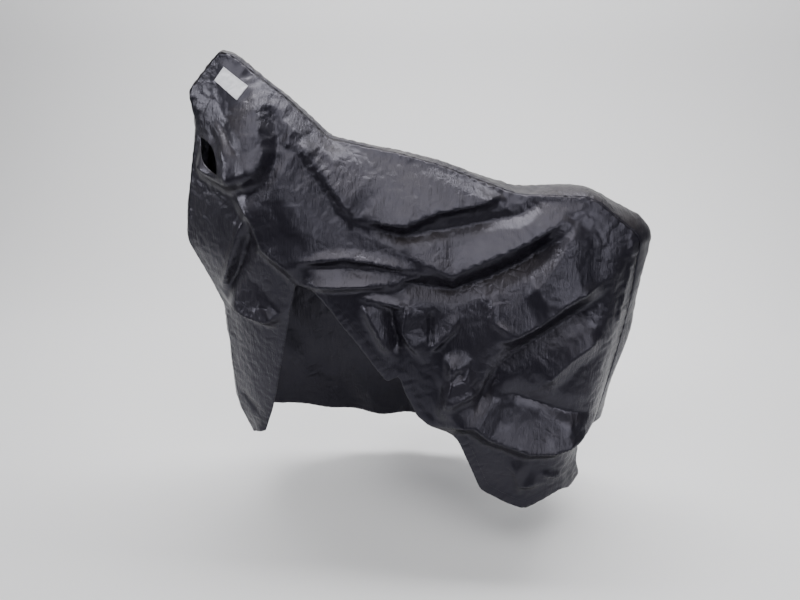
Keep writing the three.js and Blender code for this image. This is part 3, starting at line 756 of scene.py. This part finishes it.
def near_panel():
    """The near cloth: folded, buckled where it is full, then creased, hemmed and puckered at its seam."""
    grid = near_grid(make_columns(SEAM_STEP), PANEL_ROWS)
    seam = seam_of(grid)
    crests = [line for _, line, _, _, _ in NEAR_FOLDS]
    flat, faces = panel_layout(grid, DRAPE_MESH, crests, [slit_line()], SEEDS["near mesh"])
    depth = settle(depth_on(flat, near_grid), faces, NEAR_TURNS)
    rise = fold_rise(flat, NEAR_FOLDS) + swelling(flat)
    points = np.stack([flat[:, 0], depth - rise * fade_at(flat, seam), flat[:, 1]], 1)
    rim = rim_of(*edge_pairs(faces), len(points))
    draped = crumple(points, faces, np.where(rim, 1.0, DRAPE["hold"]), fullness(flat))
    draped[:, 1] += settle(points[:, 1] - draped[:, 1], faces, KEPT_FOLD_TURNS)
    points, faces = subdivide(draped, faces)
    flat = points[:, [0, 2]]
    creases = random_creases(edge_of(grid, OUTLINE_STEP), CREASES["near"])
    rise = crease_rise(flat, creases) * NEAR_CREASE_SHARE
    hem = hem_of(grid)
    rise += (hem_rise(flat, hem, SEEDS["near hem"])
             + puckers(flat, resample(seam, HEM_STEP), SEEDS["near seam"], SEAM_PUCKER))
    points[:, 1] -= rise
    return mesh_piece("near_cloth", points, faces, (0, -1, 0)), hem


def puckers(points, line, seed, size):
    """Short waves across a row of stitches, uneven along it."""
    dice = np.random.default_rng(seed)
    gap, _, share = nearest_on_line(points, line)
    run = share * np.hypot(*np.diff(line, axis=0).T).sum()
    at = np.arange(0, run.max() + PUCKER_CHANGE["past"], PUCKER_CHANGE["every"])
    phase = np.interp(run, at, dice.uniform(0, PUCKER_CHANGE["phase"], len(at)))
    depth = np.interp(run, at, dice.uniform(PUCKER_CHANGE["least"], 1, len(at)))
    fall = np.clip(1 - gap / size["reach"], 0, 1) ** PUCKER_CHANGE["sharp"]
    return size["depth"] * depth * fall * np.sin(2 * math.pi * run / size["wave"] + phase)


def hem_rise(points, hem, seed):
    """The turned hem: twice the cloth, drawn in a little by its stitches."""
    gap, _, _ = nearest_on_line(points, hem)
    turn = HEM["turn"]
    rise = CLOTH * ease((turn + HEM["over"] - gap) / HEM["step"])
    rise -= HEM["dent"] * np.clip(1 - np.abs(gap - turn + HEM["inset"]) / HEM["dent_reach"], 0, 1)
    fade = ease((turn + HEM["pucker_over"] - gap) / HEM["pucker_fade"])
    return rise + puckers(points, hem, seed, HEM_PUCKER) * fade


def subdivide(points, faces):
    """Each triangle becomes four; new points lie between the old ones, bent by butterfly weights."""
    n = len(points)
    pairs, counts = edge_pairs(faces)
    key = pairs[:, 0].astype(np.int64) * n + pairs[:, 1]
    order = np.argsort(key)
    key_sorted = key[order]

    def index_of(a, b):
        lo, hi = np.minimum(a, b), np.maximum(a, b)
        return order[np.searchsorted(key_sorted, lo.astype(np.int64) * n + hi)]

    mids = (points[pairs[:, 0]] + points[pairs[:, 1]]) / 2
    wings = np.zeros_like(mids)
    for k in range(3):
        a, b, c = faces[:, k], faces[:, (k + 1) % 3], faces[:, (k + 2) % 3]
        e = index_of(a, b)
        np.add.at(wings, e, points[c])
    inner = counts == 2
    bend = wings[inner] - points[pairs[inner, 0]] - points[pairs[inner, 1]]
    mids[inner] = mids[inner] + BUTTERFLY * bend
    e0 = n + index_of(faces[:, 0], faces[:, 1])
    e1 = n + index_of(faces[:, 1], faces[:, 2])
    e2 = n + index_of(faces[:, 2], faces[:, 0])
    new = np.concatenate([np.stack([faces[:, 0], e0, e2], 1), np.stack([faces[:, 1], e1, e0], 1),
                          np.stack([faces[:, 2], e2, e1], 1), np.stack([e0, e1, e2], 1)])
    return np.concatenate([points, mids]), new


def far_panel():
    """The far cloth: long soft folds, small creases, hem and seam."""
    grid = far_grid(make_columns(SEAM_STEP), PANEL_ROWS)
    seam = seam_of(grid)
    crests = [line for _, line, _, _, _ in FAR_FOLDS]
    flat, faces = panel_layout(grid, FAR_MESH, crests, [], SEEDS["far mesh"])
    depth = settle(depth_on(flat, far_grid), faces, FAR_TURNS)
    rise = settle(fold_rise(flat, FAR_FOLDS), faces, FAR_FOLD_TURNS, FAR_FOLD_SHARE)
    rise += crease_rise(flat, random_creases(edge_of(grid, OUTLINE_STEP), CREASES["far"]))
    rise *= fade_at(flat, seam)
    hem = hem_of(grid)
    rise += (hem_rise(flat, hem, SEEDS["far hem"])
             + puckers(flat, resample(seam, HEM_STEP), SEEDS["far seam"], SEAM_PUCKER))
    points = np.stack([flat[:, 0], depth + rise, flat[:, 1]], 1)
    return mesh_piece("far_cloth", points, faces, (0, 1, 0)), hem


def top_strip():
    """The strip between the panels, crowned and rumpled between its two seams."""
    columns = make_columns(SEAM_STEP)
    across = np.linspace(-1, 1, STRIP_COLUMNS)[None, :]
    wave = STRIP_WAVE["depth"] * columns["half"][:, None] / STRIP_WAVE["at_half"]
    turn = 2 * np.pi * columns["run"][:, None] / STRIP_WAVE["length"]
    wave = wave * np.sin(turn + STRIP_WAVE["slant"] * across)
    lift = (columns["crown"][:, None] + wave) * (1 - across ** 2)
    y = columns["half"][:, None] * across
    run, aside = np.broadcast_arrays(columns["run"][:, None], y)
    flat = np.stack([run.ravel(), aside.ravel()], 1)
    rise = crease_rise(flat, random_creases(flat, CREASES["strip"]))
    for side in (-1, 1):
        seam = np.stack([columns["run"], side * columns["half"]], 1)[::2]
        rise += puckers(flat, seam, SEEDS["strip seam"] + side, SEAM_PUCKER)
    lift = lift + rise.reshape(lift.shape) * (1 - across ** STRIP_WAVE["held_at_seam"])
    x = columns["seam_x"][:, None] + lift * columns["out_x"][:, None]
    z = columns["seam_z"][:, None] + lift * columns["out_z"][:, None]
    points = np.stack([x, y, z], 2).reshape(-1, 3)
    faces = grid_faces(*x.shape)
    outward = points[faces].mean(1) - INSIDE
    return mesh_piece("strip_cloth", points, faces, outward)


def stitch_row(name, spots, outs, size):
    """A row of stitches as one mesh: spots on the cloth, outs the directions away from it."""
    spots = np.asarray(spots, float)
    outs = np.asarray(outs, float)
    ahead = np.gradient(spots, axis=0)
    ahead /= np.maximum(np.linalg.norm(ahead, axis=1), NO_LENGTH)[:, None]
    aside = np.cross(ahead, outs)
    aside /= np.maximum(np.linalg.norm(aside, axis=1), NO_LENGTH)[:, None]
    outs = np.cross(aside, ahead)
    around = STITCH_SIDES
    verts, faces = [], []
    for spot, go, side, out in zip(spots, ahead, aside, outs):
        base = len(verts)
        verts.append(spot - go * size["long"] / 2)
        for along in STITCH_SHOULDERS:
            for k in range(around):
                angle = 2 * math.pi * k / around
                bend = side * math.cos(angle) + out * math.sin(angle)
                verts.append(spot + go * size["long"] * along + bend * size["thick"] / 2)
        verts.append(spot + go * size["long"] / 2)
        tip = base + 2 * around + 1
        for k in range(around):
            a, b = base + 1 + k, base + 1 + (k + 1) % around
            faces += [(base, b, a), (a, b, b + around), (a, b + around, a + around),
                      (tip, a + around, b + around)]
    return smooth_mesh(name, in_metres(verts).tolist(), faces)


def cloth_tree(cloth):
    """A finished piece made ready for rays."""
    mesh = cloth.data
    return BVHTree.FromPolygons([v.co for v in mesh.vertices], [tuple(p.vertices) for p in mesh.polygons])


def touch(tree, x, z, from_y):
    """Where a ray along Y meets the cloth: its depth and the direction away from the cloth."""
    look = -AHEAD if from_y > 0 else AHEAD
    place, normal, _, _ = tree.ray_cast(Vector((x * MM, from_y, (z + REST) * MM)), look)
    if place is None:
        return None
    return place.y / MM, normal if normal.dot(look) < 0 else -normal


def hem_stitches(name, cloth, hem, from_y):
    """Stitches along a hem, on the cloth's outer side, left out where the hem bends too sharply."""
    tree = cloth_tree(cloth)
    along = np.gradient(hem, axis=0)
    along /= np.linalg.norm(along, axis=1)[:, None]
    inward = np.stack([-along[:, 1], along[:, 0]], 1)
    inset = HEM["turn"] - HEM["inset"]
    row = hem + inward * inset
    gap, _, _ = nearest_on_line(row, hem)
    row = resample(row[gap > inset - 1], STITCH["pitch"])
    spots, outs = [], []
    for x, z in row:
        met = touch(tree, x, z, from_y)
        if met:
            spots.append((x, met[0], z))
            outs.append(tuple(met[1]))
    return stitch_row(name, spots, outs, STITCH)


def on_label(u, v):
    """A place on the label, measured along and across it from its middle, as x and z."""
    turn = math.radians(LABEL["turn"])
    cos, sin = math.cos(turn), math.sin(turn)
    return LABEL["x"] + u * cos - v * sin, LABEL["z"] + u * sin + v * cos


def label_stitches(label):
    """Stitches round the label, a little in from its edge."""
    tree = cloth_tree(label)
    wide, tall = LABEL["long"] / 2 - LABEL["sewn_in"], LABEL["tall"] / 2 - LABEL["sewn_in"]
    corners = [(-wide, -tall), (wide, -tall), (wide, tall), (-wide, tall), (-wide, -tall)]
    spots, outs = [], []
    for u, v in resample(corners, LABEL_STITCH["pitch"])[:-1]:
        x, z = on_label(u, v)
        depth, out = touch(tree, x, z, -FAR_OFF)
        spots.append((x, depth, z))
        outs.append(tuple(out))
    return stitch_row("label_thread", spots, outs, LABEL_STITCH)


def label_piece(cloth):
    """A small woven label lying on the cloth."""
    tree = cloth_tree(cloth)
    u, v = np.meshgrid(np.linspace(-0.5, 0.5, LABEL["along"]), np.linspace(-0.5, 0.5, LABEL["across"]),
                       indexing="ij")
    u, v = u * LABEL["long"], v * LABEL["tall"]
    x, z = on_label(u, v)
    depth = np.zeros(x.shape)
    for n in np.ndindex(x.shape):
        depth[n] = touch(tree, x[n], z[n], -FAR_OFF)[0]
    for _ in range(LABEL["flatten"]):
        padded = np.pad(depth, 1, mode="edge")
        mean = (padded[:-2, 1:-1] + padded[2:, 1:-1] + padded[1:-1, :-2] + padded[1:-1, 2:]) / 4
        depth = np.minimum(depth, mean)
    depth -= LABEL["clear"]
    creases = random_creases(LABEL_BOX, CREASES["label"])
    depth -= crease_rise(np.stack([u.ravel(), v.ravel()], 1), creases).reshape(depth.shape)
    points = np.stack([x, depth, z], 2).reshape(-1, 3)
    return mesh_piece("label_cloth_piece", points, grid_faces(*x.shape), (0, -1, 0), LABEL_CLOTH)


# Finishes

# Coat of the cloth: two blacks, a painted sheen of lighter brownish grey on what faces up, and the tint of
# its shine.
DEEP_BLACK = (0.0055, 0.0052, 0.0085, 1)
WORN_BLACK = (0.011, 0.010, 0.014, 1)
PAINTED_SHEEN = (0.036, 0.031, 0.029, 1)
SHINE_TINT = (0.84, 0.82, 1.0, 1)
LABEL_WHITES = ((0.50, 0.50, 0.54, 1), (0.66, 0.66, 0.70, 1))
WHITE_THREAD = (0.62, 0.62, 0.64, 1)
BLACK_THREAD = (0.012, 0.012, 0.016, 1)
PALE_STAGE = (0.86, 0.86, 0.87, 1)

# Places of a Mix node's sockets: first and second value, and the result.
MIX_SOCKETS = {"RGBA": (6, 7, 2), "VECTOR": (4, 5, 1)}


class Finish:
    """A material, with short ways to add nodes and to join them to its shader."""

    def __init__(self, name):
        self.material = bpy.data.materials.new(name)
        self.material.use_nodes = True
        self.tree = self.material.node_tree
        self.shader = self.tree.nodes["Principled BSDF"]
        self.place = self.node("TexCoord").outputs["Object"]

    def give(self, socket, value):
        """Joins a socket to another node's output, or sets it to a plain value."""
        if isinstance(value, bpy.types.NodeSocket):
            self.tree.links.new(value, socket)
        else:
            socket.default_value = value

    def node(self, kind, **inputs):
        """A node of a kind, its sockets joined or set by name."""
        made = self.tree.nodes.new("ShaderNode" + kind)
        for name, value in inputs.items():
            self.give(made.inputs[name.replace("_", " ")], value)
        return made

    def surface(self, **inputs):
        """Joins or sets the shader's own sockets by name."""
        for name, value in inputs.items():
            self.give(self.shader.inputs[name.replace("_", " ")], value)

    def turned(self, angle, scale):
        """The piece's own coordinates, turned about Y and scaled."""
        turn = (0, math.radians(angle), 0)
        return self.node("Mapping", Vector=self.place, Rotation=turn, Scale=scale).outputs["Vector"]

    def noise(self, scale, detail, rough, vector=None):
        """Soft noise, on the piece's own coordinates unless others are given."""
        made = self.node("TexNoise", Vector=vector or self.place, Scale=scale, Detail=detail, Roughness=rough)
        return made.outputs["Fac"]

    def span(self, value, low, high, to_low, to_high):
        """A value between low and high, carried over to between to_low and to_high."""
        made = self.node("MapRange", Value=value, From_Min=low, From_Max=high, To_Min=to_low, To_Max=to_high)
        return made.outputs["Result"]

    def times(self, a, b):
        """Two values multiplied."""
        made = self.node("Math")
        made.operation = "MULTIPLY"
        self.give(made.inputs[0], a)
        self.give(made.inputs[1], b)
        return made.outputs["Value"]

    def blend(self, kind, share, first, second):
        """Two colours or places, blended by a share."""
        made = self.node("Mix")
        made.data_type = kind
        low, high, out = MIX_SOCKETS[kind]
        self.give(made.inputs[0], share)
        self.give(made.inputs[low], first)
        self.give(made.inputs[high], second)
        return made.outputs[out]

    def bump(self, height, strength, distance, below=None):
        """Relief from a height, laid over the relief below."""
        made = self.node("Bump", Height=height, Strength=strength, Distance=distance)
        if below:
            self.give(made.inputs["Normal"], below)
        return made.outputs["Normal"]


def cloth_colour(coat):
    """Two blacks in broad patches, with a painted sheen of lighter brownish grey on what faces up."""
    ramp = coat.node("ValToRGB", Fac=coat.noise(5.0, 3.0, 0.55))
    for element, position, colour in zip(ramp.color_ramp.elements, (0.35, 0.7), (DEEP_BLACK, WORN_BLACK)):
        element.position = position
        element.color = colour
    upward = coat.node("SeparateXYZ", Vector=coat.node("NewGeometry").outputs["Normal"]).outputs["Z"]
    # Painted sheen: a lighter brownish grey blended in where the cloth faces up, broken into patches by
    # noise.
    dust = coat.times(coat.span(upward, 0.45, 0.95, 0.0, 0.8),
                      coat.span(coat.noise(7.0, 4.0, 0.6), 0.35, 0.65, 0.2, 1.0))
    return coat.blend("RGBA", dust, ramp.outputs["Color"], PAINTED_SHEEN)


def cloth_shine(coat):
    """Strength of the shine: weaker where the cloth turns away, and low down near the floor."""
    facing = coat.node("LayerWeight", Blend=0.5).outputs["Facing"]
    height = coat.node("SeparateXYZ", Vector=coat.place).outputs["Z"]
    return coat.times(coat.span(facing, 0.55, 0.95, 0.42, 0.06), coat.span(height, -0.7, -0.56, 0.68, 1.0))


def cloth_relief(coat):
    """The close weave, a net of crinkles, and streaks of fine crinkles, upright and slanting."""
    upright = coat.times(coat.noise(1.0, 4.0, 0.62, coat.turned(8, (230, 60, 34))),
                         coat.span(coat.noise(9.0, 2.0, 0.5), 0.4, 0.62, 0.0, 1.0))
    patches = coat.noise(8.0, 2.0, 0.5, coat.turned(0, (1.3, 1, 1)))
    slanting = coat.times(coat.noise(1.0, 4.0, 0.62, coat.turned(-52, (210, 60, 38))),
                          coat.span(patches, 0.42, 0.6, 0.0, 1.0))
    wander = coat.node("TexNoise", Vector=coat.place, Scale=30.0).outputs["Color"]
    cells = coat.node("TexVoronoi", Vector=coat.blend("VECTOR", 0.035, coat.place, wander), Scale=34.0)
    cells.feature = "DISTANCE_TO_EDGE"
    crinkle = coat.times(coat.span(cells.outputs["Distance"], 0.0, 0.22, 0.0, 1.0),
                         coat.span(coat.noise(11.0, 2.0, 0.5), 0.42, 0.6, 0.0, 1.0))
    relief = coat.bump(coat.noise(520.0, 2.0, 0.5), 0.2, 0.0004)
    relief = coat.bump(crinkle, 0.45, 0.0012, relief)
    relief = coat.bump(upright, 0.9, 0.0018, relief)
    return coat.bump(slanting, 0.9, 0.0016, relief)


def coated_cloth():
    """Thin black cloth with a soft shining coat."""
    coat = Finish("black coated cloth")
    roughness = coat.span(coat.noise(22.0, 5.0, 0.6), 0.3, 0.7, 0.29, 0.39)
    coat.surface(Base_Color=cloth_colour(coat), Specular_Tint=SHINE_TINT, Roughness=roughness,
                 Specular_IOR_Level=cloth_shine(coat), Normal=cloth_relief(coat))
    return coat.material


def label_finish():
    """White cloth in a close weave, blank."""
    label_cloth = Finish("white woven label")
    weave = label_cloth.node("TexNoise", Vector=label_cloth.place, Scale=900.0).outputs["Fac"]
    ramp = label_cloth.node("ValToRGB", Fac=weave)
    for element, colour in zip(ramp.color_ramp.elements, LABEL_WHITES):
        element.color = colour
    label_cloth.surface(Base_Color=ramp.outputs["Color"], Roughness=0.75,
                        Normal=label_cloth.bump(weave, 0.3, 0.0004))
    return label_cloth.material


def thread_finish(name, colour):
    """Twisted sewing thread."""
    thread = Finish(name)
    twist = thread.node("TexNoise", Vector=thread.place, Scale=1400.0).outputs["Fac"]
    thread.surface(Base_Color=colour, Roughness=0.55, Normal=thread.bump(twist, 0.5, 0.0002))
    return thread.material


def stage_finish():
    """The plain pale floor."""
    floor_paint = Finish("pale stage")
    floor_paint.surface(Base_Color=PALE_STAGE, Roughness=0.9)
    return floor_paint.material


# Assembly

near, near_hem = near_panel()
far, far_hem = far_panel()
strip = top_strip()
label = label_piece(near)
near_thread = hem_stitches("near_hem_thread", near, near_hem, -FAR_OFF)
far_thread = hem_stitches("far_hem_thread", far, far_hem, FAR_OFF)
label_thread = label_stitches(label)

cloth_look = coated_cloth()
black_thread = thread_finish("black thread", BLACK_THREAD)
for pieces, look in (((near, far, strip), cloth_look), ((label,), label_finish()),
                     ((label_thread,), thread_finish("white thread", WHITE_THREAD)),
                     ((near_thread, far_thread), black_thread)):
    for piece in pieces:
        piece.data.materials.append(look)

for piece, node, slot in ((near, "near_panel", "coated_cloth"), (far, "far_panel", "coated_cloth"),
                          (strip, "top_strip", "coated_cloth"), (label, "label", "label_cloth")):
    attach(piece, "root")
    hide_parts(node)
for piece, slot in ((near_thread, "coated_cloth"), (far_thread, "coated_cloth"),
                    (label_thread, "label_cloth")):
    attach(piece, "root")


# Stage, light and camera

# In metres: a floor that bends up into a backdrop, and soft lights with their place, the place that
# they face, width and height, power and spread in degrees.
FLOOR = {"z": -0.919, "half": 6.0, "back": 2.2, "bend": 1.2, "high": 5.0, "steps": 16}
MIDDLE = (-0.33, 0.0, -0.25)
LIGHTS = [
    # name, place, toward, size, power, spread
    ("large soft light above the front", (-0.35, -1.3, 2.25), MIDDLE, (2.3, 1.5), 30, 140),
    ("soft light overhead", (-0.3, 0.1, 2.3), MIDDLE, (2.2, 1.2), 3, 140),
    ("front right fill", (1.5, -2.4, 1.05), (-0.05, -0.2, -0.45), (1.6, 1.2), 4.5, 60),
    ("left fill", (-2.4, -0.8, 0.75), (-0.8, 0.0, 0.0), (1.1, 1.1), 3.0, 40),
    ("light on the backdrop", (-0.3, 0.6, 3.0), (-0.3, 2.2, 0.2), (4.0, 1.0), 200, 180),
]
ROOM = {"colour": (0.92, 0.93, 1.0, 1), "strength": 0.08}
CAMERA = {"place": (-0.240, -1.45, 0.331), "tilt": 66.6, "turn": 5, "lens": 27.54, "sensor": 36}


def stage():
    """The floor, bent up behind the cover into a backdrop."""
    half, bend = FLOOR["half"], FLOOR["bend"]
    profile = [(-half, FLOOR["z"])]
    profile += [(FLOOR["back"] - bend + bend * math.sin(a), FLOOR["z"] + bend - bend * math.cos(a))
                for a in np.linspace(0, math.pi / 2, FLOOR["steps"])]
    profile.append((FLOOR["back"], FLOOR["z"] + FLOOR["high"]))
    verts = [(x, y, z) for x in (-half, half) for y, z in profile]
    n = len(profile)
    faces = [(i, i + 1, n + i + 1, n + i) for i in range(n - 1)]
    floor = smooth_mesh("floor", verts, faces)
    floor.data.materials.append(stage_finish())


def area_light(name, place, toward, size, power, spread):
    """A soft rectangular light that faces a place."""
    light = bpy.data.lights.new(name, "AREA")
    light.shape = "RECTANGLE"
    light.size, light.size_y = size
    light.energy = power
    light.spread = math.radians(spread)
    lamp = bpy.data.objects.new(name, light)
    lamp.location = place
    lamp.rotation_euler = (Vector(toward) - Vector(place)).to_track_quat("-Z", "Y").to_euler()
    bpy.context.scene.collection.objects.link(lamp)


def room_light():
    """Faint light from all round."""
    world = bpy.data.worlds.new("room")
    bpy.context.scene.world = world
    world.use_nodes = True
    background = world.node_tree.nodes["Background"]
    background.inputs["Color"].default_value = ROOM["colour"]
    background.inputs["Strength"].default_value = ROOM["strength"]


def camera():
    """The camera at the photo's angle."""
    lens = bpy.data.cameras.new("camera")
    lens.sensor_width = CAMERA["sensor"]
    lens.sensor_fit = "HORIZONTAL"
    lens.lens = CAMERA["lens"]
    eye = bpy.data.objects.new("camera", lens)
    eye.location = CAMERA["place"]
    eye.rotation_euler = (math.radians(CAMERA["tilt"]), 0, math.radians(CAMERA["turn"]))
    bpy.context.scene.collection.objects.link(eye)
    bpy.context.scene.camera = eye


stage()
for row in LIGHTS:
    area_light(*row)
room_light()
camera()
